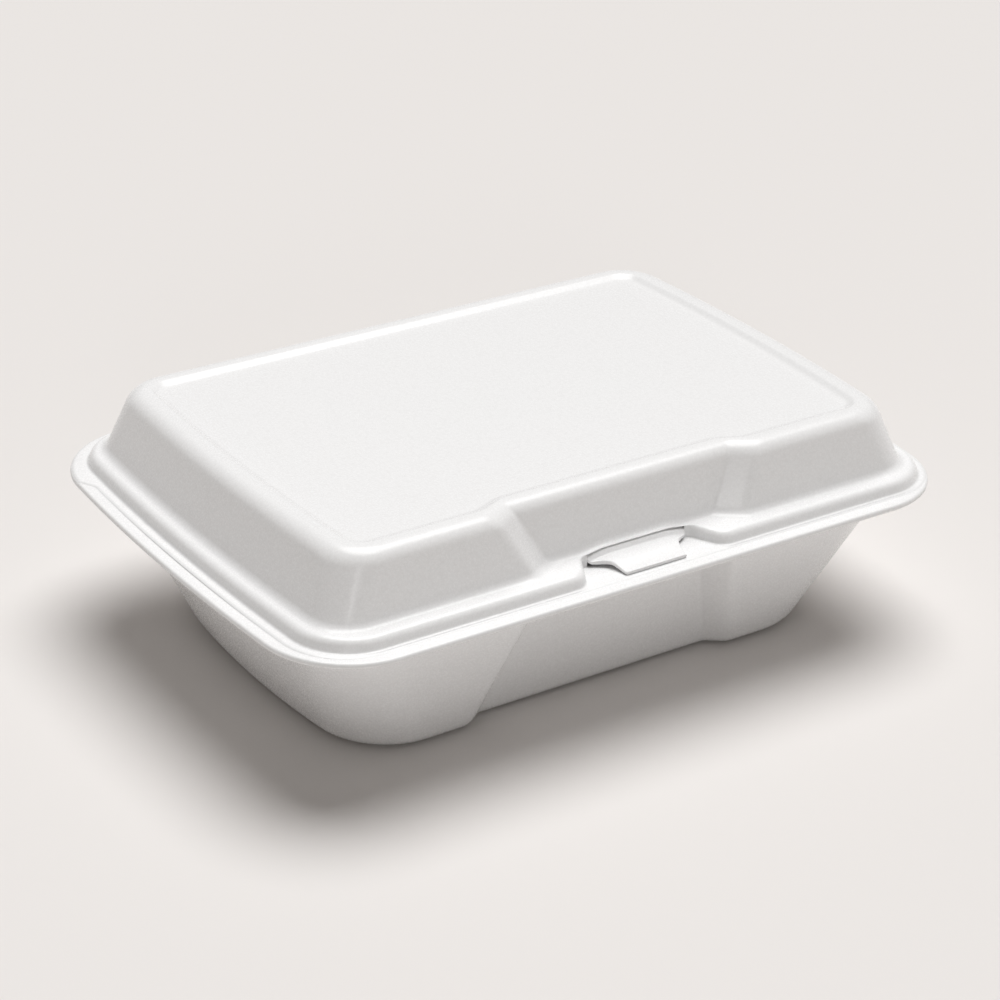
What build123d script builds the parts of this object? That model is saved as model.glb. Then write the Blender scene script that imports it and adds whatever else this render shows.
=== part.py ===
"""Hinged foam takeaway container, thermoformed from one sheet of white polystyrene foam.

The tray and the lid are drawn closed, as one sheet folded over along its living hinge at the back.
Frame: origin under the middle of the tray's foot, +X to the right along the long side, +Y to the
hinge, +Z up. The locking tongue faces -Y. All sizes are in millimetres.
"""

from build123d import *
from math import atan, atan2, cos, hypot, pi, sin, tan
import os

# Overall sizes
length = 237.0  # flange, between the middles of the short sides
width = 165.0  # flange, from the front edge to the hinge line
height = 74.0  # foot to the crest of the lid's rim
parting_height = 50.0  # top of the tray's flange
short_side_bow = 2.0  # how far the short sides swell out at their middles

# Foam sheet
wall = 2.3  # walls and panels
flange_thickness = 2.0  # pressed rim of the tray
lid_gap = 0.2  # daylight between the lid and the tray's flange

# Tray: insets run from the flange's edge, as (short sides, long sides)
flange_corner = 28.0
edge_break = 0.6  # softened edges of the flange
tray_mouth_inset = (10.8, 10.0)  # outer wall under the flange
tray_mouth_corner = 22.0
tray_foot_inset = (31.0, 26.5)  # outer wall carried down to the floor
tray_foot_corner = 24.0
tray_foot_round = 6.0
tray_inner_round = 4.0
tray_mouth_round = 1.2
tray_flange_round = 1.5
tray_recess_clear = 76.0  # between the flange's short side and the floor of the front wall's recess, at the foot
tray_recess_foot = (length / 2 - tray_recess_clear, 6.0, 4.3)  # half width of its floor, run of its ends, depth
tray_recess_mouth = (27.5, 7.0, 9.0)  # and under the flange

# Lid
lid_lip_reach = 2.0  # thin lip on the tray's flange, beyond the skirt
lid_lip_thickness = 1.0
skirt_foot_inset = (5.2, 6.2)
skirt_top_inset = (6.8, 7.0)
skirt_height = 4.0
skirt_corner = 15.5
skirt_round = 1.7
dome_foot_inset = (10.8, 12.0)  # where the wall rises from the shoulder
dome_foot_corner = 14.5
dome_foot_round = 1.5
dome_foot_back = 1.5  # back wall stands nearer the hinge than the front wall to the front
dome_top_inset = (17.2, 16.8)  # wall carried up to the crest
dome_top_corner = 14.5
dome_top_round = 6.0
dome_top_back = 2.8
dome_inner_round = 3.5
panel_depth = 0.8  # top panel below the crest of the rim
panel_inset = (26.6, 25.2)
panel_slope_run = 0.9
panel_corner = 5.0
panel_recess_depth = 3.7
lid_recess_foot = (30.0, 9.0, 5.6)  # thumb recess at the shoulder: half width of floor, run of ends, depth
lid_recess_top = (38.5, 7.5, 4.2)  # and at the crest

# Lock: a tongue on the tray that comes through a slot in the lid and hooks over the lid's lip
window_half = 24.0  # gap in the lid's shoulder and skirt
window_taper = 5.5  # how much narrower it is at the slot
slot_half = 18.5  # slot under the recessed wall
slot_end_height = 3.3  # above the parting, at the ends of the slot
slot_top_half = 13.0
slot_height = 4.4
slot_flare = 0.9  # rim left in front of the recessed wall, over the slot
strip_width = 12.0  # lip below the slot, from its outer edge
tongue_clearance = 1.2  # at each end of the slot
tongue_height = 2.5
tongue_sheet = 1.0
tongue_nose_half = 11.0
tongue_nose_reach = 15.2  # from the tongue's root to its nose
tongue_shoulder_reach = 6.6

# Living hinge
hinge_carry = 1.0  # corner curves are carried on this far behind the hinge line, and cut there
ear_reach = 0.5  # lid's lip stands out at the back corners, beyond the flange
ear_start = 51.5  # where the ears begin, behind the middle
ear_round = 2.5

flange_underside = parting_height - flange_thickness
lid_bottom = parting_height + lid_gap
shoulder_level = lid_bottom + skirt_height
tray_draft = (tray_foot_inset[1] - tray_mouth_inset[1]) / flange_underside
tray_sheet = wall * hypot(1, tray_draft)
dome_draft = (dome_top_inset[1] - dome_foot_inset[1]) / (height - shoulder_level)
dome_sheet = wall * hypot(1, dome_draft)
slot_wall = -width / 2 + dome_foot_inset[1] + lid_recess_foot[2]


def corner_points(half_length, half_width, corner):
    """Points where one corner arc starts, turns and ends, beside a bowed short side."""
    centre_x = half_length - short_side_bow - corner
    centre_y = half_width - corner
    reach = corner + short_side_bow
    side_radius = (reach**2 + centre_y**2 - corner**2) / (2 * short_side_bow)
    lean_x = centre_x - (half_length - side_radius)
    size = hypot(lean_x, centre_y)
    lean = (lean_x / size, centre_y / size)
    size = hypot(lean[0], lean[1] + 1)
    middle = (lean[0] / size, (lean[1] + 1) / size)
    side = (centre_x + corner * lean[0], centre_y + corner * lean[1])
    mid = (centre_x + corner * middle[0], centre_y + corner * middle[1])
    return side, mid, (centre_x, half_width)


def section(inset, corner, z, recess=None, back=0.0, grow=0.0):
    """Level outline at height z as a face: inset from the flange's edge, with any recess in its front."""
    half_length = length / 2 - inset[0] - grow
    half_width = width / 2 - inset[1] - grow + back / 2
    side, mid, end = corner_points(half_length, half_width, corner - grow)
    if recess is None:
        front = Line((-end[0], -end[1]), (end[0], -end[1]))
    else:
        floor_half, run, depth, round_out, round_in = recess
        floor_half += grow * tan(atan2(depth, run) / 2)
        inner = -half_width + depth
        round_out = max(round_out - 0.7 * grow, 0.5)
        front = FilletPolyline(
            (-end[0], -end[1]),
            (-floor_half - run, -half_width),
            (-floor_half, inner),
            (floor_half, inner),
            (floor_half + run, -half_width),
            (end[0], -end[1]),
            radius=(round_out, round_in + grow, round_in + grow, round_out),
        )
    curves = [
        front,
        ThreePointArc((end[0], -end[1]), (mid[0], -mid[1]), (side[0], -side[1])),
        ThreePointArc((side[0], -side[1]), (half_length, 0), side),
        ThreePointArc(side, mid, end),
        Line(end, (-end[0], end[1])),
        ThreePointArc((-end[0], end[1]), (-mid[0], mid[1]), (-side[0], side[1])),
        ThreePointArc((-side[0], side[1]), (-half_length, 0), (-side[0], -side[1])),
        ThreePointArc((-side[0], -side[1]), (-mid[0], -mid[1]), (-end[0], -end[1])),
    ]
    return Pos(0, back / 2, z) * make_face(Curve() + curves)


def between(low, high, share):
    """Value, or group of values, at a share of the way from low to high."""
    if isinstance(low, tuple):
        return tuple(a + (b - a) * share for a, b in zip(low, high))
    return low + (high - low) * share


def round_steps(radius, draft, steps):
    """Rise and inset of the points along a rounded foot, from its flat to its leaning wall."""
    turn = pi / 2 - atan(draft)
    points = []
    for step in range(steps + 1):
        angle = turn * step / steps
        rise = radius * (1 - cos(angle))
        points.append((rise, radius * (tan(turn / 2) - sin(angle)) + rise * draft))
    return points


def tray_level(z, grow=0.0):
    """Section of the tray's wall at height z."""
    share = z / flange_underside
    recess = between(tray_recess_foot, tray_recess_mouth, share) + (between(6.0, 4.5, share), between(4.5, 3.5, share))
    inset = between(tray_foot_inset, tray_mouth_inset, share)
    return section(inset, between(tray_foot_corner, tray_mouth_corner, share), z, recess, grow=grow)


def dome_level(z, grow=0.0):
    """Section of the lid's wall at height z."""
    share = (z - shoulder_level) / (height - shoulder_level)
    recess = between(lid_recess_foot, lid_recess_top, share) + (between(6.0, 10.0, share), between(9.0, 7.0, share))
    inset = between(dome_foot_inset, dome_top_inset, share)
    corner = between(dome_foot_corner, dome_top_corner, share)
    return section(inset, corner, z, recess, between(dome_foot_back, dome_top_back, share), grow)


def panel_level(z, grow):
    """Section of the sunk top panel."""
    recess = (lid_recess_top[0] + 0.4, lid_recess_top[1] + 1.0, panel_recess_depth, 6.0, 9.0)
    return section(panel_inset, panel_corner, z, recess, dome_top_back, grow)


def soft_layer(inset, corner, z, thickness, back=0.0, grow=0.0):
    """Flat layer with softened edges."""
    steps = [(0, edge_break), (edge_break, 0), (thickness - edge_break, 0), (thickness, edge_break)]
    return loft([section(inset, corner, z + rise, back=back, grow=grow + cut) for rise, cut in steps], ruled=True)


def hinge_round(z, side, thickness):
    """Tool that rounds a layer's back edge: side 1 rounds a lower edge at height z, side -1 an upper edge."""
    size = 0.9 * thickness
    block = Pos(0, width / 2, z) * Box(2 * length, 2 * size, 2 * size)
    roller = Pos(0, width / 2 - size, z + side * size) * Rot(0, 90, 0) * Cylinder(size, 3 * length)
    return block - roller


def hinge_ears():
    """Plan of the back of the lid's lip, which widens to ears with slanted ends."""
    reach = length / 2
    behind = make_face(
        Polyline(
            (-reach - 20, width / 2),
            (-reach - 20, ear_start + 20),
            (-reach + 20, ear_start - 20),
            (reach - 20, ear_start - 20),
            (reach + 20, ear_start + 20),
            (reach + 20, width / 2),
            close=True,
        )
    )
    return section((-ear_reach, 0), flange_corner, 0, back=hinge_carry) & behind


def make_flange():
    flange = soft_layer((0, 0), flange_corner, flange_underside, flange_thickness, back=hinge_carry)
    flange -= Pos(0, width / 2 + width, parting_height) * Box(2 * length, 2 * width, height)
    return flange - hinge_round(flange_underside, 1, flange_thickness)


def make_tongue():
    """Tongue of sheet that rises from the mouth's edge, bends outwards and ends in a nose above the lid's lip."""
    root = -width / 2 + tray_mouth_inset[1] + tray_recess_mouth[2] + 0.8 * tray_sheet
    crest = parting_height + tongue_height
    nose = root - tongue_nose_reach
    base = flange_underside + 0.2 * flange_thickness
    lip_top = lid_bottom + lid_lip_thickness
    profile = FilletPolyline(
        (root, base),
        (root, crest),
        (nose + 1.4, crest - 0.3),
        (nose + 0.7, lip_top + 0.8),
        (nose - 0.3, lip_top + 0.6),
        (nose - 0.3, lip_top + 0.2),
        (nose + 2.0, lip_top + 0.2),
        (nose + 2.4, crest - 0.25 - tongue_sheet),
        (root - tongue_sheet, crest - tongue_sheet),
        (root - tongue_sheet, base),
        radius=(1.5, 0.6, 0.2, 0.15, 0.15, 0.05, 0.05, 0.1),
    )
    face = Plane.YZ * make_face(Curve() + [profile, Line((root - tongue_sheet, base), (root, base))])
    shoulder_half = slot_half - tongue_clearance
    strip = extrude(face, shoulder_half, both=True)
    shoulder = root - tongue_shoulder_reach
    plan = FilletPolyline(
        (-shoulder_half, root + 1),
        (-shoulder_half, shoulder),
        (-tongue_nose_half - 1.0, shoulder - 1.2),
        (-tongue_nose_half, nose - 3),
        (tongue_nose_half, nose - 3),
        (tongue_nose_half + 1.0, shoulder - 1.2),
        (shoulder_half, shoulder),
        (shoulder_half, root + 1),
        radius=(1.5, 2.5, 0.5, 0.5, 2.5, 1.5),
    )
    outline = make_face(Curve() + [plan, Line((shoulder_half, root + 1), (-shoulder_half, root + 1))])
    return strip & extrude(Pos(0, 0, base - 1) * outline, tongue_height + 5)


def make_tray():
    foot = [tray_level(rise, cut) for rise, cut in round_steps(tray_foot_round, tray_draft, 3)]
    under = [
        tray_level(flange_underside - rise, -cut) for rise, cut in reversed(round_steps(tray_flange_round, tray_draft, 2))
    ]
    outer = loft(foot + under, ruled=True) + make_flange()
    floor = [
        tray_level(wall + rise, tray_sheet + cut) for rise, cut in round_steps(tray_inner_round, tray_draft, 2)
    ]
    mouth = [
        tray_level(parting_height - tray_mouth_round, tray_sheet),
        tray_level(parting_height - 0.3 * tray_mouth_round, tray_sheet - 0.25 * tray_mouth_round),
        tray_level(parting_height, tray_sheet - 0.8 * tray_mouth_round),
        tray_level(parting_height + wall, tray_sheet - 0.8 * tray_mouth_round),
    ]
    return outer - loft(floor + mouth, ruled=True) + make_tongue()


def make_dome():
    flare = [
        dome_level(shoulder_level + rise, -cut) for rise, cut in round_steps(dome_foot_round, -dome_draft, 2)
    ]
    crest = [
        dome_level(height - rise, cut) for rise, cut in reversed(round_steps(dome_top_round, dome_draft, 3))
    ]
    flare_reach = round_steps(dome_foot_round, -dome_draft, 2)[0][1]
    root = extrude(dome_level(shoulder_level, -flare_reach), -wall / 2)
    panel = loft(
        [panel_level(height - panel_depth, 0), panel_level(height + panel_depth, -2 * panel_slope_run)],
        ruled=True,
    )
    return loft(flare + crest, ruled=True) + root - panel


def make_lip():
    """Thin lip on the tray's flange, with ears at the back corners and a rounded edge at the hinge."""
    plan = section(skirt_foot_inset, skirt_corner, 0, grow=-lid_lip_reach) + hinge_ears()
    ends = [corner for corner in plan.vertices() if abs(corner.Y - ear_start) < 6 and abs(corner.X) > length / 4]
    plan = fillet(ends, ear_round)
    lip = extrude(Pos(0, 0, lid_bottom) * plan, lid_lip_thickness)
    return lip - hinge_round(lid_bottom + lid_lip_thickness, -1, lid_lip_thickness)


def make_skirt():
    skirt = loft(
        [
            section(skirt_foot_inset, skirt_corner, lid_bottom),
            section(skirt_top_inset, skirt_corner, shoulder_level - skirt_round),
            section(skirt_top_inset, skirt_corner, shoulder_level - 0.3 * skirt_round, grow=0.3 * skirt_round),
            section(skirt_top_inset, skirt_corner, shoulder_level, grow=skirt_round),
        ],
        ruled=True,
    )
    return skirt + make_lip()


def window_plan(grow):
    """Plan of the gap in the lid's shoulder and skirt, with rounded ends to the bead."""
    front = -width / 2
    inner = slot_wall - slot_flare + grow
    half = window_half + grow
    bead = front + skirt_foot_inset[1]
    sides = FilletPolyline(
        (-half - 9, front - 2),
        (-half - 6, bead - 1.0),
        (-half, bead + 2.5),
        (-half + window_taper, inner),
        (half - window_taper, inner),
        (half, bead + 2.5),
        (half + 6, bead - 1.0),
        (half + 9, front - 2),
        radius=(1.0, 4.0, 1.0, 1.0, 4.0, 1.0),
    )
    return make_face(Curve() + [sides, Line((half + 9, front - 2), (-half - 9, front - 2))])


def make_lid():
    outer = make_skirt() + make_dome()
    under = loft(
        [
            section(skirt_foot_inset, skirt_corner, lid_bottom - wall, grow=wall),
            section(skirt_top_inset, skirt_corner, shoulder_level - wall, grow=wall),
        ],
        ruled=True,
    )
    under -= extrude(Pos(0, 0, lid_bottom - 2 * wall) * window_plan(wall), skirt_height + 2 * wall)
    ceiling = height - panel_depth - wall
    low = dome_level(shoulder_level - wall, dome_sheet)
    top = [
        dome_level(ceiling - rise, dome_sheet + cut) for rise, cut in reversed(round_steps(dome_inner_round, dome_draft, 2))
    ]
    cavity = loft([low] + top, ruled=True) + extrude(low, -skirt_height)
    lid = outer - under - cavity
    lid -= extrude(Pos(0, 0, lid_bottom + lid_lip_thickness) * window_plan(0), 2 * skirt_height)
    slot = make_face(
        Polyline(
            (-slot_half, lid_bottom - wall),
            (slot_half, lid_bottom - wall),
            (slot_half, parting_height + slot_end_height),
            (slot_top_half, parting_height + slot_height),
            (-slot_top_half, parting_height + slot_height),
            (-slot_half, parting_height + slot_end_height),
            close=True,
        )
    )
    strip_inner = -width / 2 + skirt_foot_inset[1] - lid_lip_reach + strip_width
    return lid - Pos(0, strip_inner + 4 * wall, 0) * extrude(Plane.XZ * slot, 4 * wall)


if __name__ == "__main__":
    os.makedirs("parts", exist_ok=True)
    tray = make_tray()
    export_step(tray, "parts/base_tray.step")
    print("tray", round(tray.volume), tray.is_valid, len(tray.solids()))
    lid = make_lid()
    export_step(lid, "parts/lid.step")
    print("lid", round(lid.volume), lid.is_valid, len(lid.solids()))
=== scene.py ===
import math
import bmesh
import bpy
from mathutils import Matrix, Vector


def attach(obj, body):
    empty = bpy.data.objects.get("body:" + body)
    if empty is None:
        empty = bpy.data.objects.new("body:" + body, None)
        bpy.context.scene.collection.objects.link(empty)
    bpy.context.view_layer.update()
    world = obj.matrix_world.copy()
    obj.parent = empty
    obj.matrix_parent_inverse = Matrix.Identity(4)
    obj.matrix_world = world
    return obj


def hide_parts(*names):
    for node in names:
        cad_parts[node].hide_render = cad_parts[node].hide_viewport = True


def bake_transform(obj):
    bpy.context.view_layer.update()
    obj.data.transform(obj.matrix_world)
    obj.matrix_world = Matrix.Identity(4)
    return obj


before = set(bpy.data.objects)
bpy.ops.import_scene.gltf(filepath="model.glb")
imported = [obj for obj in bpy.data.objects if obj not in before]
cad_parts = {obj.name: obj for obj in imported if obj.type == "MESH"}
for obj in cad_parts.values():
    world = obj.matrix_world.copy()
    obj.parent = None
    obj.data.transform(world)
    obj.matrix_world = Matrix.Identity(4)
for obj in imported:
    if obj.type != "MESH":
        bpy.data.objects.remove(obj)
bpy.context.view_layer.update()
scene = bpy.context.scene
scene.view_settings.view_transform = 'Standard'


def deselectAll():
    for thing in bpy.context.selected_objects:
        thing.select_set(False)


def makeActive(thing):
    deselectAll()
    thing.select_set(True)
    bpy.context.view_layer.objects.active = thing


# foam sheet: bead skin, fine cells and a satin face

foamLook = {
    'colour': (0.93, 0.931, 0.933, 1.0),
    'shade': (0.9, 0.9, 0.901, 1.0),    # between the beads
    'shadeRange': (0.25, 0.8),          # cell distance where the shade starts and is full
    'roughness': (0.22, 0.31),
    'glossRange': (0.3, 0.7),           # grain where the roughness starts and ends
    'specular': 0.42,
    'cellsPerMetre': 950.0,
    'cellSmoothness': 0.45,
    'grainPerMetre': 2300.0,
    'wavePerMetre': 22.0,
    'cellDepth': 0.000024,
    'grainDepth': 0.00001,
    'waveDepth': 0.0004,
    'fineBump': 0.6,                    # strength of the cells and of the grain
    'waveBump': 0.35,
}


def addNode(tree, kind, place, **values):
    node = tree.nodes.new(kind)
    node.location = place
    for name, value in values.items():
        node.inputs[name].default_value = value
    return node


def makeFoam(name, turn):
    material = bpy.data.materials.new(name)
    material.use_nodes = True
    tree = material.node_tree
    link = tree.links.new
    shader = tree.nodes['Principled BSDF']
    shader.inputs['Specular IOR Level'].default_value = foamLook['specular']

    place = addNode(tree, 'ShaderNodeTexCoord', (-1400, 0))
    mapping = addNode(tree, 'ShaderNodeMapping', (-1200, 0), Rotation=turn)
    link(place.outputs['Object'], mapping.inputs['Vector'])

    cells = addNode(tree, 'ShaderNodeTexVoronoi', (-900, 300), Scale=foamLook['cellsPerMetre'])
    cells.feature = 'SMOOTH_F1'
    cells.inputs['Randomness'].default_value = 1.0
    cells.inputs['Smoothness'].default_value = foamLook['cellSmoothness']
    grain = addNode(tree, 'ShaderNodeTexNoise', (-900, 0), Scale=foamLook['grainPerMetre'], Detail=2.0)
    wave = addNode(tree, 'ShaderNodeTexNoise', (-900, -300), Scale=foamLook['wavePerMetre'], Detail=1.5)
    for texture in (cells, grain, wave):
        link(mapping.outputs['Vector'], texture.inputs['Vector'])

    # a little darker between the beads
    tone = addNode(tree, 'ShaderNodeMix', (-450, 350))
    tone.data_type = 'RGBA'
    tone.inputs['A'].default_value = foamLook['colour']
    tone.inputs['B'].default_value = foamLook['shade']
    toneRange = addNode(tree, 'ShaderNodeMapRange', (-680, 350))
    toneRange.inputs['From Min'].default_value = foamLook['shadeRange'][0]
    toneRange.inputs['From Max'].default_value = foamLook['shadeRange'][1]
    link(cells.outputs['Distance'], toneRange.inputs['Value'])
    link(toneRange.outputs['Result'], tone.inputs['Factor'])
    link(tone.outputs['Result'], shader.inputs['Base Color'])

    # the skin shines unevenly
    gloss = addNode(tree, 'ShaderNodeMapRange', (-450, 80))
    gloss.inputs['From Min'].default_value = foamLook['glossRange'][0]
    gloss.inputs['From Max'].default_value = foamLook['glossRange'][1]
    gloss.inputs['To Min'].default_value = foamLook['roughness'][0]
    gloss.inputs['To Max'].default_value = foamLook['roughness'][1]
    link(grain.outputs['Fac'], gloss.inputs['Value'])
    link(gloss.outputs['Result'], shader.inputs['Roughness'])

    waveBump = addNode(tree, 'ShaderNodeBump', (-450, -350), Strength=foamLook['waveBump'])
    waveBump.inputs['Distance'].default_value = foamLook['waveDepth']
    link(wave.outputs['Fac'], waveBump.inputs['Height'])
    cellBump = addNode(tree, 'ShaderNodeBump', (-280, -250), Strength=foamLook['fineBump'])
    cellBump.inputs['Distance'].default_value = foamLook['cellDepth']
    cellBump.invert = True
    link(cells.outputs['Distance'], cellBump.inputs['Height'])
    link(waveBump.outputs['Normal'], cellBump.inputs['Normal'])
    grainBump = addNode(tree, 'ShaderNodeBump', (-110, -150), Strength=foamLook['fineBump'])
    grainBump.inputs['Distance'].default_value = foamLook['grainDepth']
    link(grain.outputs['Fac'], grainBump.inputs['Height'])
    link(cellBump.outputs['Normal'], grainBump.inputs['Normal'])
    link(grainBump.outputs['Normal'], shader.inputs['Normal'])
    return material


trayFoam = makeFoam('trayFoam', (0.3, 0.1, 0.6))
lidFoam = makeFoam('lidFoam', (0.0, 0.5, 0.2))
print('foam ready')


# level outlines: every ring of the shells has the same columns, so rings join as quads

sheet = {
    'length': 237.0,
    'width': 165.0,
    'bow': 2.0,             # short sides swell out at their middles
    'slotHalf': 18.5,
    'slotMargin': 0.4,      # left between the slot and the end of a narrow floor
    'leastBend': 0.8,       # shortest run of a rounded bend
    'leastRound': 0.5,
    'browShrink': 0.7,      # how fast the outer rounds shrink on inner layers
    'smoothAngle': 50.0,
    'columns': {            # points along each stretch of half a ring, from the front to the back
        'slot': 14, 'floor': 4, 'arc': 7, 'end': 5, 'front': 8, 'corner': 16, 'side': 14, 'back': 12,
    },
}
millimetre = 0.001


def between(low, high, share):
    if isinstance(low, tuple):
        return tuple(between(a, b, share) for a, b in zip(low, high))
    return low + (high - low) * share


def along(start, end, steps):
    return [between(start, end, step / steps) for step in range(steps)]


def bend(start, knee, end, steps):
    points = []
    for step in range(steps):
        share = step / steps
        points.append(between(between(start, knee, share), between(knee, end, share), share))
    return points


def arcPoints(centre, radius, first, last, steps):
    turns = along(first, last, steps)
    return [(centre[0] + radius * math.cos(turn), centre[1] + radius * math.sin(turn)) for turn in turns]


def ring(inset, corner, recess, back=0.0, grow=0.0):
    right = halfRing(inset, corner, recess, back, grow)
    left = halfRing(inset, corner, recess[:5] + (-recess[5],), back, grow)
    return right + [(-x, y) for x, y in reversed(left[1:-1])]


def halfRing(inset, corner, recess, back, grow):
    columns = sheet['columns']
    halfLength = sheet['length'] / 2 - inset[0] - grow
    front = -(sheet['width'] / 2 - inset[1] - grow)
    rear = -front + back
    corner = corner - grow
    # short side: a wide arc that runs into both corners
    bow = sheet['bow']
    cornerX = halfLength - bow - corner
    middleY = (front + rear) / 2
    cornerY = (rear - front) / 2 - corner
    sideRadius = ((corner + bow) ** 2 + cornerY ** 2 - corner ** 2) / (2 * bow)
    sideX = halfLength - sideRadius
    lean = math.atan2(cornerY, cornerX - sideX)
    # front: recess with slanted ends
    floorHalf, run, depth, roundOut, roundIn, shift = recess
    slope = math.atan2(depth, run)
    floorHalf = floorHalf + grow * math.tan(slope / 2) + shift
    floorY = front + depth
    endWay = Vector((run, -depth)).normalized()
    inside = max((roundIn + grow) * math.tan(slope / 2), sheet['leastBend'])
    browRound = max(roundOut - sheet['browShrink'] * grow, sheet['leastRound'])
    outside = max(browRound * math.tan(slope / 2), sheet['leastBend'])
    knee = (floorHalf, floorY)
    brow = (floorHalf + run, front)
    kneeStart = (floorHalf - inside, floorY)
    kneeEnd = (knee[0] + endWay.x * inside, knee[1] + endWay.y * inside)
    browStart = (brow[0] - endWay.x * outside, brow[1] - endWay.y * outside)
    browEnd = (brow[0] + outside, front)
    slotEnd = (min(sheet['slotHalf'] + shift, kneeStart[0] - sheet['slotMargin']), floorY)
    half = along((shift, floorY), slotEnd, columns['slot'])
    half += along(slotEnd, kneeStart, columns['floor'])
    half += bend(kneeStart, knee, kneeEnd, columns['arc'])
    half += along(kneeEnd, browStart, columns['end'])
    half += bend(browStart, brow, browEnd, columns['arc'])
    half += along(browEnd, (cornerX, front), columns['front'])
    half += arcPoints((cornerX, middleY - cornerY), corner, -math.pi / 2, -lean, columns['corner'])
    half += arcPoints((sideX, middleY), sideRadius, -lean, lean, columns['side'])
    half += arcPoints((cornerX, middleY + cornerY), corner, lean, math.pi / 2, columns['corner'])
    half += along((cornerX, rear), (0.0, rear), columns['back'])
    half.append((0.0, rear))
    return half


def atHeight(points, z):
    return [(x, y, z) for x, y in points]


def roundSteps(radius, draft, steps):
    # rise and cut of a rounded foot beside a leaning wall, from the flat to the wall
    turn = math.pi / 2 - math.atan(draft)
    found = []
    for step in range(steps + 1):
        angle = turn * step / steps
        rise = radius * (1 - math.cos(angle))
        found.append((rise, radius * (math.tan(turn / 2) - math.sin(angle)) + rise * draft))
    return found


# shells grow by hand: one circle, extruded row after row, and each row is put in its place

def layersOf(shell):
    mesh = bmesh.from_edit_mesh(shell.data)
    return mesh, mesh.verts.layers.int['column'], mesh.verts.layers.int['row']


def placeRow(shell, points, number):
    mesh, column, row = layersOf(shell)
    for vert in mesh.verts:
        if vert.select:
            vert[row] = number
            vert.co = Vector(points[vert[column]]) * millimetre
    bmesh.update_edit_mesh(shell.data)


def growShell(name, rows):
    deselectAll()
    bpy.ops.mesh.primitive_circle_add(vertices=len(rows[0]), radius=0.1)
    shell = bpy.context.active_object
    shell.name = name
    bpy.ops.object.mode_set(mode='EDIT')
    mesh = bmesh.from_edit_mesh(shell.data)
    column = mesh.verts.layers.int.new('column')
    mesh.verts.layers.int.new('row')
    mesh.verts.ensure_lookup_table()
    for vert in mesh.verts:
        vert[column] = vert.index
    bpy.ops.mesh.select_all(action='SELECT')
    placeRow(shell, rows[0], 0)
    for number, points in enumerate(rows[1:], 1):
        bpy.ops.mesh.extrude_region_move(TRANSFORM_OT_translate={'value': (0, 0, millimetre)})
        placeRow(shell, points, number)
    for number in (0, len(rows) - 1):
        selectRows(shell, (number,))
        bpy.ops.mesh.edge_face_add()
    return shell


def selectRows(shell, rows, columns=None):
    bpy.ops.mesh.select_all(action='DESELECT')
    mesh, column, row = layersOf(shell)
    for vert in mesh.verts:
        vert.select = vert[row] in rows and (columns is None or vert[column] in columns)
    mesh.select_flush(True)
    bmesh.update_edit_mesh(shell.data)


def finishShell(shell, foam, bodyName):
    bpy.ops.mesh.select_all(action='SELECT')
    bpy.ops.mesh.normals_make_consistent(inside=False)
    bpy.ops.object.mode_set(mode='OBJECT')
    for name in ('column', 'row'):
        shell.data.attributes.remove(shell.data.attributes[name])
    makeActive(shell)
    bpy.ops.object.transform_apply(location=True, rotation=True, scale=True)
    bpy.ops.object.shade_smooth_by_angle(angle=math.radians(sheet['smoothAngle']))
    weights = shell.modifiers.new('weights', 'WEIGHTED_NORMAL')
    weights.keep_sharp = True
    bpy.ops.object.modifier_apply(modifier='weights')
    shell.data.materials.clear()
    shell.data.materials.append(foam)
    if bodyName:
        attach(shell, bodyName)


# tray

tray = {
    'footInset': (31.0, 26.5), 'footCorner': 24.0, 'footRound': 6.0, 'footSteps': 7,
    'mouthInset': (10.8, 10.0), 'mouthCorner': 22.0, 'mouthHeight': 48.0,
    'recessFoot': (42.5, 6.0, 4.3, 6.0, 1.5, 0.0),  # floor half, run of the ends, depth, two rounds, shift
    'recessMouth': (27.5, 7.0, 9.0, 4.5, 1.0, 0.0),
    'wall': 2.3,
    'innerRound': 4.0, 'innerSteps': 5,
    'underRound': 1.5, 'underSteps': 4,             # below the flange
    'flangeCorner': 28.0,
    'flangeEdge': [                                 # height and cut of the pressed edge, from below
        (48.0, 0.9), (48.12, 0.4), (48.5, 0.08), (49.0, 0.0), (49.5, 0.08), (49.88, 0.4), (50.0, 0.9),
    ],
    'mouthEdge': [(50.0, 1.0), (49.9, 0.55), (49.6, 0.2), (49.0, 0.0)],
    'wallLevels': [12.0, 22.0, 32.0, 40.0],
}


def trayRing(z, grow=0.0):
    share = z / tray['mouthHeight']
    inset = between(tray['footInset'], tray['mouthInset'], share)
    corner = between(tray['footCorner'], tray['mouthCorner'], share)
    recess = between(tray['recessFoot'], tray['recessMouth'], share)
    return atHeight(ring(inset, corner, recess, grow=grow), z)


def flangeRing(z, grow):
    # no recess here: the flange runs straight across the front
    flat = tray['recessMouth'][:2] + (0.0,) + tray['recessMouth'][3:]
    return atHeight(ring((0.0, 0.0), tray['flangeCorner'], flat, grow=grow), z)


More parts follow.
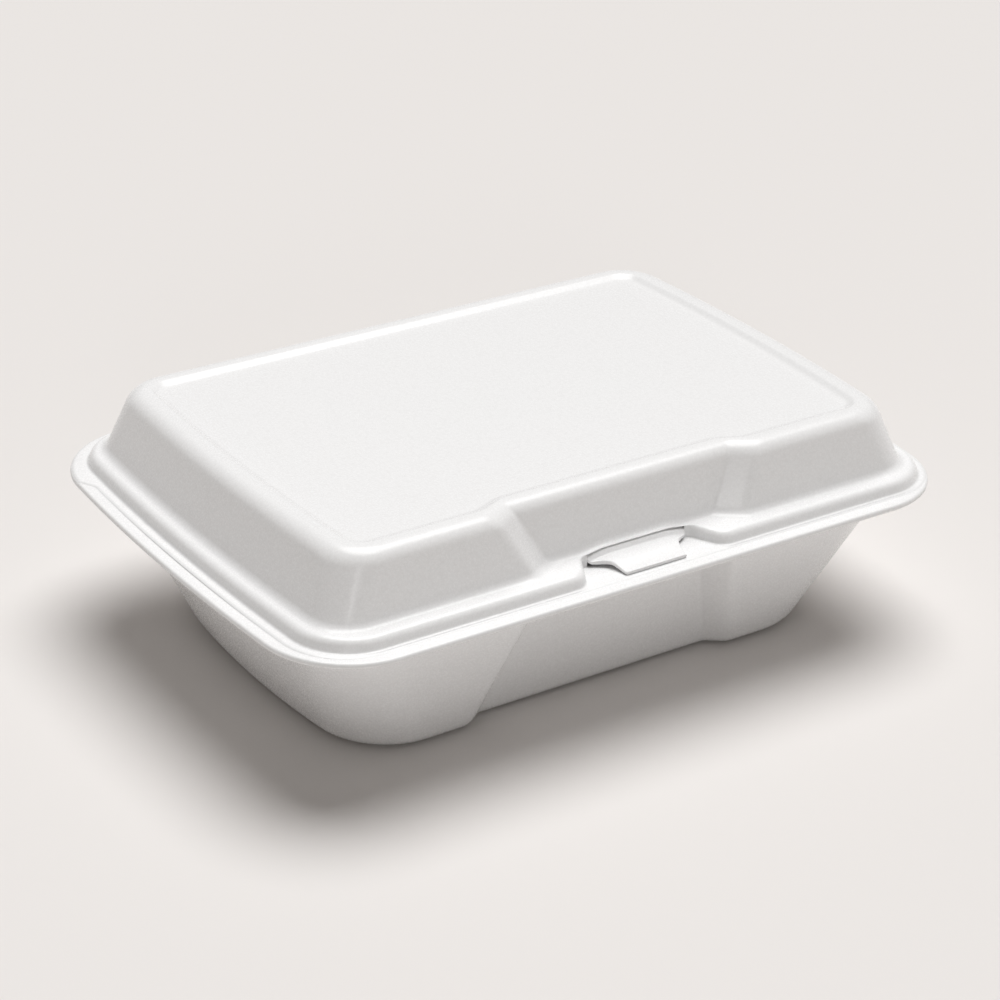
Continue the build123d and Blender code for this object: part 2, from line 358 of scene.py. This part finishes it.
def makeTray():
    draft = (tray['footInset'][1] - tray['mouthInset'][1]) / tray['mouthHeight']
    across = tray['wall'] * math.hypot(1, draft)
    rows = [trayRing(rise, cut) for rise, cut in roundSteps(tray['footRound'], draft, tray['footSteps'])]
    rows += [trayRing(z) for z in tray['wallLevels']]
    underSteps = reversed(roundSteps(tray['underRound'], draft, tray['underSteps']))
    rows += [trayRing(tray['mouthHeight'] - rise, -cut) for rise, cut in underSteps]
    rows += [flangeRing(z, cut) for z, cut in tray['flangeEdge']]
    rows += [trayRing(z, across - cut) for z, cut in tray['mouthEdge']]
    rows += [trayRing(z, across) for z in reversed(tray['wallLevels'])]
    innerSteps = reversed(roundSteps(tray['innerRound'], draft, tray['innerSteps']))
    rows += [trayRing(tray['wall'] + rise, across + cut) for rise, cut in innerSteps]
    shell = growShell('trayShell', rows)
    finishShell(shell, trayFoam, 'tray')
    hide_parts('base_tray')


makeTray()
print('tray ready')


# lid

lid = {
    'bottom': 50.2, 'shoulder': 54.2, 'crest': 74.0, 'wall': 2.3,
    'shift': 1.2,                               # sits a little to the right of the tray
    'skirtFoot': (5.8, 5.5), 'skirtTop': (6.2, 5.8), 'skirtCorner': 18.5,
    'skirtRise': [                              # height, share of the lean and cut at the skirt's foot
        (50.44, 0.0, -1.0), (50.5, 0.0, -0.5), (50.7, 0.0, -0.15), (51.05, 0.1, 0.0), (51.6, 0.5, 0.0),
    ],
    'beadRound': 2.6, 'beadSteps': 8,           # rounded shoulder above the skirt
    'beadLean': 12.0,                           # lean of the skirt below it, in degrees
    'lipInset': (2.8, 4.0), 'lipCorner': 20.5,
    'lipEdge': [                                # height and cut of the lip's edge
        (50.0, -0.12), (50.08, 0.0), (50.2, 0.2), (50.32, 0.5), (50.4, 0.85),
    ],
    'lipLift': (0.2, -8.0, 42.0),               # left side gapes a little: rise, middle and half reach
    'lipLiftSide': -95.0,                       # left of here
    'earInset': (-0.5, 0.0), 'earCorner': 28.0, 'earStart': (53.0, 57.0),
    'window': (19.3, 5.2, 6.0, 2.5, 0.8),       # gap for the tongue: floor half, run, two rounds, shift
    'windowBack': -66.8,
    'slotTop': 55.2,                            # height of the slot's inner edge
    'slotLift': (0.9, 12.0),                    # its outer edge: rise and half width of the level part
    'domeFoot': (11.8, 12.0), 'domeFootCorner': 11.5, 'domeFootBack': 1.5,
    'domeFootRound': 1.5, 'domeFootSteps': 4,
    'domeTop': (18.4, 16.8), 'domeTopCorner': 14.5, 'domeTopBack': 2.8,
    'domeTopRound': 5.2, 'domeTopSteps': 8,
    'recessFoot': (29.3, 8.0, 5.6, 6.0, 3.0, 0.5),
    'recessTop': (39.6, 8.0, 4.2, 9.0, 3.0, -1.4),
    'wallLevels': [57.5, 61.0, 64.5],
    'panel': (27.4, 25.2), 'panelCorner': 5.0,
    'panelRecess': (38.9, 8.5, 3.7, 6.0, 9.0, -1.4),
    'panelEdge': [                              # height and inset, from the rim down to the panel
        (74.0, -2.6), (73.9, -2.1), (73.6, -1.5), (73.15, -0.7), (72.85, 0.0), (72.74, 0.6), (72.7, 1.2),
    ],
    'ceilingDrop': 0.8,                         # ceiling below the crest, besides the foam
    'innerRound': 3.5, 'innerSteps': 5,
    'innerFoot': [(0.6, 0.1), (0.0, 0.7)],      # rise over the shoulder's underside and cut of the wall
    'innerSkirt': [                             # fall, share of the lean, added inset, growth of the window
        (0.0, 1.0, 0.6, 2.3), (0.6, 0.7, 0.0, 2.0),
    ],
    'innerWindow': 1.2,                         # growth of the window at the bottom
}


def domeRing(z, grow=0.0):
    share = (z - lid['shoulder']) / (lid['crest'] - lid['shoulder'])
    inset = between(lid['domeFoot'], lid['domeTop'], share)
    corner = between(lid['domeFootCorner'], lid['domeTopCorner'], share)
    recess = between(lid['recessFoot'], lid['recessTop'], share)
    back = between(lid['domeFootBack'], lid['domeTopBack'], share)
    return atHeight(ring(inset, corner, recess, back, grow), z)


def skirtRing(z, share, grow=0.0, windowGrow=0.0):
    inset = between(lid['skirtFoot'], lid['skirtTop'], share)
    floorHalf, run, roundOut, roundIn, shift = lid['window']
    depth = lid['windowBack'] + windowGrow + sheet['width'] / 2 - inset[1] - grow
    window = (floorHalf, run, depth, roundOut, roundIn, shift)
    return atHeight(ring(inset, lid['skirtCorner'], window, grow=grow), z)


def lipRing(z, cut):
    # the lip widens to ears at the hinge
    floorHalf, run, roundOut, roundIn, shift = lid['window']
    flat = (floorHalf, run, 0.0, roundOut, roundIn, shift)
    lip = ring(lid['lipInset'], lid['lipCorner'], flat, grow=cut)
    ears = ring(lid['earInset'], lid['earCorner'], flat, grow=cut)
    low, high = lid['earStart']
    rise, middle, reach = lid['lipLift']
    points = []
    for near, far in zip(lip, ears):
        share = min(max((near[1] - low) / (high - low), 0.0), 1.0)
        share = share * share * (3 - 2 * share)     # eased
        gape = rise * math.exp(-((near[1] - middle) / reach) ** 2) if near[0] < lid['lipLiftSide'] else 0.0
        points.append(between(near, far, share) + (z + gape,))
    return points


def flareRing(rise, cut):
    # the foot of the dome, lifted over the slot
    lift, level = lid['slotLift']
    middle = lid['window'][4]
    low = domeRing(lid['shoulder'] + rise, -cut)
    high = domeRing(lid['shoulder'] + lift + rise, -cut)
    points = []
    for near, far in zip(low, high):
        share = (sheet['slotHalf'] - abs(near[0] - middle)) / (sheet['slotHalf'] - level)
        points.append(between(near, far, min(max(share, 0.0), 1.0) if near[1] < 0 else 0.0))
    return points


def panelRing(z, grow):
    outline = ring(lid['panel'], lid['panelCorner'], lid['panelRecess'], lid['domeTopBack'], grow)
    return atHeight(outline, z)


def makeLid():
    draft = (lid['domeTop'][1] - lid['domeFoot'][1]) / (lid['crest'] - lid['shoulder'])
    across = lid['wall'] * math.hypot(1, draft)
    ceiling = lid['crest'] - lid['ceilingDrop'] - lid['wall']
    under = lid['shoulder'] - lid['wall']
    # inside, from the ceiling down to the lip
    innerSteps = roundSteps(lid['innerRound'], draft, lid['innerSteps'])
    rows = [domeRing(ceiling - rise, across + cut) for rise, cut in innerSteps]
    rows += [domeRing(z, across) for z in reversed(lid['wallLevels'])]
    slotInside = len(rows)
    rows.append(domeRing(lid['slotTop'], across))
    rows += [domeRing(under + rise, across - cut) for rise, cut in lid['innerFoot']]
    for fall, share, inset, windowGrow in lid['innerSkirt']:
        rows.append(skirtRing(under - fall, share, lid['wall'] + inset, windowGrow))
    rows.append(skirtRing(lid['bottom'], 0.0, lid['wall'], lid['innerWindow']))
    stripUnder = len(rows)
    rows.append(skirtRing(lid['bottom'], 0.0))
    # lip, skirt and bead
    rows += [lipRing(z, cut) for z, cut in lid['lipEdge']]
    stripTop = len(rows)
    rows += [skirtRing(z, share, cut) for z, share, cut in lid['skirtRise']]
    lean = math.radians(lid['beadLean'])
    for angle in along(lean, math.pi / 2, lid['beadSteps']) + [math.pi / 2]:
        fall = lid['beadRound'] * (1 - math.sin(angle))
        inset = lid['beadRound'] * (math.cos(lean) - math.cos(angle))
        rows.append(skirtRing(lid['shoulder'] - fall, 1.0, inset))
    # dome
    slotOutside = len(rows)
    footSteps = roundSteps(lid['domeFootRound'], -draft, lid['domeFootSteps'])
    rows += [flareRing(rise, cut) for rise, cut in footSteps]
    rows += [domeRing(z) for z in lid['wallLevels']]
    topSteps = reversed(roundSteps(lid['domeTopRound'], draft, lid['domeTopSteps']))
    rows += [domeRing(lid['crest'] - rise, cut) for rise, cut in topSteps]
    rows += [panelRing(z, grow) for z, grow in lid['panelEdge']]
    rows = [[(x + lid['shift'], y, z) for x, y, z in points] for points in rows]
    shell = growShell('lidShell', rows)
    cutSlot(shell, len(rows[0]), (slotInside, stripUnder), (stripTop, slotOutside))
    finishShell(shell, lidFoam, 'cover')
    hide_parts('lid')


def cutSlot(shell, around, insideRows, outsideRows):
    last = sheet['columns']['slot']
    columns = set(range(last + 1)) | set(range(around - last, around))
    bpy.ops.mesh.select_all(action='DESELECT')
    mesh, column, row = layersOf(shell)
    for face in mesh.faces:
        if len(face.verts) > 4 or any(vert[column] not in columns for vert in face.verts):
            continue
        found = [vert[row] for vert in face.verts]
        for first, end in (insideRows, outsideRows):
            if min(found) >= first and max(found) <= end:
                face.select = True
    bmesh.update_edit_mesh(shell.data)
    bpy.ops.mesh.delete(type='FACE')
    for pair in ((insideRows[0], outsideRows[1]), (insideRows[1], outsideRows[0])):
        selectRows(shell, pair, columns)
        bpy.ops.mesh.bridge_edge_loops()
    bpy.ops.mesh.select_all(action='DESELECT')
    bpy.ops.mesh.select_mode(type='EDGE')
    bpy.ops.mesh.select_non_manifold()
    bpy.ops.mesh.fill_holes(sides=0)
    bpy.ops.mesh.select_mode(type='VERT')


makeLid()
print('lid ready')


# locking tongue on the tray, through the slot in the lid

tongue = {
    'shift': 2.0,
    'droop': (1.1, 11.5, 17.5),     # how far the wide part's edges hang, from where to where
    'flatSteps': 10, 'edgeSteps': 6,
    'path': [                       # depth, height, half width and thickness, from the root to the nose
        (-61.6, 48.6, 17.6, 0.9), (-61.6, 52.9, 17.6, 0.9), (-61.8, 53.8, 17.6, 0.9),
        (-62.4, 54.35, 17.6, 0.9), (-63.4, 54.5, 17.6, 0.9), (-65.0, 54.5, 17.6, 0.9),
        (-66.0, 54.4, 17.6, 0.9), (-66.55, 54.05, 17.6, 0.9), (-66.9, 53.5, 17.6, 0.9),
        (-67.3, 53.0, 17.4, 0.9), (-67.9, 52.65, 16.8, 1.1), (-68.7, 52.45, 15.4, 1.3),
        (-69.5, 52.35, 14.0, 1.4), (-70.4, 52.3, 13.0, 1.4), (-71.4, 52.22, 12.3, 1.4),
        (-72.3, 52.02, 11.9, 1.3), (-73.4, 51.7, 11.6, 1.2), (-74.6, 51.42, 11.3, 1.1),
        (-75.6, 51.22, 11.15, 1.0), (-76.4, 51.12, 11.05, 1.0), (-77.2, 51.06, 10.8, 1.0),
    ],
}


def tongueRing(place, before, after):
    depth, height, half, thickness = place
    lean = math.atan2(after[1] - before[1], after[0] - before[0])
    across = (-math.sin(lean), math.cos(lean))
    edge = thickness / 2
    half = half - edge
    turns = along(0.0, math.pi, tongue['edgeSteps'])
    spread = [(x, edge) for x in along(-half, half, tongue['flatSteps'])]
    spread += [(half + edge * math.sin(turn), edge * math.cos(turn)) for turn in turns]
    spread += [(x, -edge) for x in along(half, -half, tongue['flatSteps'])]
    spread += [(-half - edge * math.sin(turn), -edge * math.cos(turn)) for turn in turns]
    fall, near, far = tongue['droop']
    points = []
    for x, out in spread:
        hang = fall * max(abs(x) - near, 0.0) / (far - near)
        points.append((x + tongue['shift'], depth + across[0] * out, height + across[1] * out - hang))
    return points


def makeTongue():
    path = tongue['path']
    ends = [path[0]] + path + [path[-1]]
    rows = [tongueRing(place, ends[number], ends[number + 2]) for number, place in enumerate(path)]
    shell = growShell('lockTongue', rows)
    finishShell(shell, trayFoam, 'tray')


makeTongue()
print('tongue ready')


# thin web that folds round the back of both layers

hingeWeb = {
    'axis': (82.45, 50.05),
    'outside': 1.15,
    'inside': 0.7,
    'turn': math.radians(96),
    'steps': 16,
    'stations': [-89.0, -60.0, -30.0, 0.0, 30.0, 60.0, 89.0],
}


def makeWeb():
    turn = hingeWeb['turn']
    axis = hingeWeb['axis']
    section = []
    for radius, first, last in ((hingeWeb['outside'], -turn, turn), (hingeWeb['inside'], turn, -turn)):
        section += arcPoints(axis, radius, first, last, hingeWeb['steps'])
        section.append((axis[0] + radius * math.cos(last), axis[1] + radius * math.sin(last)))
    rows = [[(x, y, z) for y, z in section] for x in hingeWeb['stations']]
    shell = growShell('hingeWeb', rows)
    finishShell(shell, trayFoam, None)
    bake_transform(shell)


makeWeb()
print('hinge ready')


# studio: pale paper, one wide softbox overhead, two weak cards and a little sky

studio = {
    'floorSize': 40.0,
    'floorHeight': -0.0001,     # just below the foot
    'floorColour': (0.785, 0.76, 0.742, 1.0),
    'floorRoughness': 0.9,
    'floorSpecular': 0.1,
    'skyColour': (1.0, 0.93, 0.87, 1.0),
    'skyStrength': 0.15,
    'lampHeight': 1.5,
    'lamps': [                  # name, turn, spread and strength
        ('softbox', (math.radians(-8), math.radians(12), 0.0), math.radians(46), 2.86),
        ('frontCard', (math.radians(74), 0.0, math.radians(12)), math.radians(36), 0.07),
        ('sideCard', (math.radians(73.6), 0.0, math.radians(-28.4)), math.radians(9), 0.17),
    ],
}


def makeFloor():
    deselectAll()
    bpy.ops.mesh.primitive_plane_add(size=studio['floorSize'], location=(0, 0, studio['floorHeight']))
    floor = bpy.context.active_object
    floor.name = 'floor'
    material = bpy.data.materials.new('palePaper')
    material.use_nodes = True
    shader = material.node_tree.nodes['Principled BSDF']
    shader.inputs['Base Color'].default_value = studio['floorColour']
    shader.inputs['Roughness'].default_value = studio['floorRoughness']
    shader.inputs['Specular IOR Level'].default_value = studio['floorSpecular']
    floor.data.materials.append(material)


makeFloor()
world = bpy.data.worlds.new('studioSky')
scene.world = world
world.use_nodes = True
sky = world.node_tree.nodes['Background']
sky.inputs['Color'].default_value = studio['skyColour']
sky.inputs['Strength'].default_value = studio['skyStrength']

for name, turn, spread, strength in studio['lamps']:
    lamp = bpy.data.lights.new(name, 'SUN')
    lamp.angle = spread
    lamp.energy = strength
    box = bpy.data.objects.new(name, lamp)
    box.location = (0, 0, studio['lampHeight'])
    box.rotation_euler = turn
    scene.collection.objects.link(box)
print('studio ready')


# camera where the photograph was taken from

cameraView = {
    'place': (-0.45355, -0.65290, 0.44235),
    'right': (0.8294, -0.5579, 0.0289),
    'up': (0.2315, 0.3902, 0.8912),
    'back': (-0.5085, -0.7324, 0.4527),
    'lens': 103.68,
    'sensor': 36.0,
    'clipStart': 0.01,
}
cameraData = bpy.data.cameras.new('camera')
cameraData.lens = cameraView['lens']
cameraData.sensor_width = cameraView['sensor']
cameraData.clip_start = cameraView['clipStart']
camera = bpy.data.objects.new('camera', cameraData)
axes = Matrix((cameraView['right'], cameraView['up'], cameraView['back'])).transposed()
camera.matrix_world = Matrix.Translation(cameraView['place']) @ axes.to_4x4()
scene.collection.objects.link(camera)
scene.camera = camera
print('camera ready')
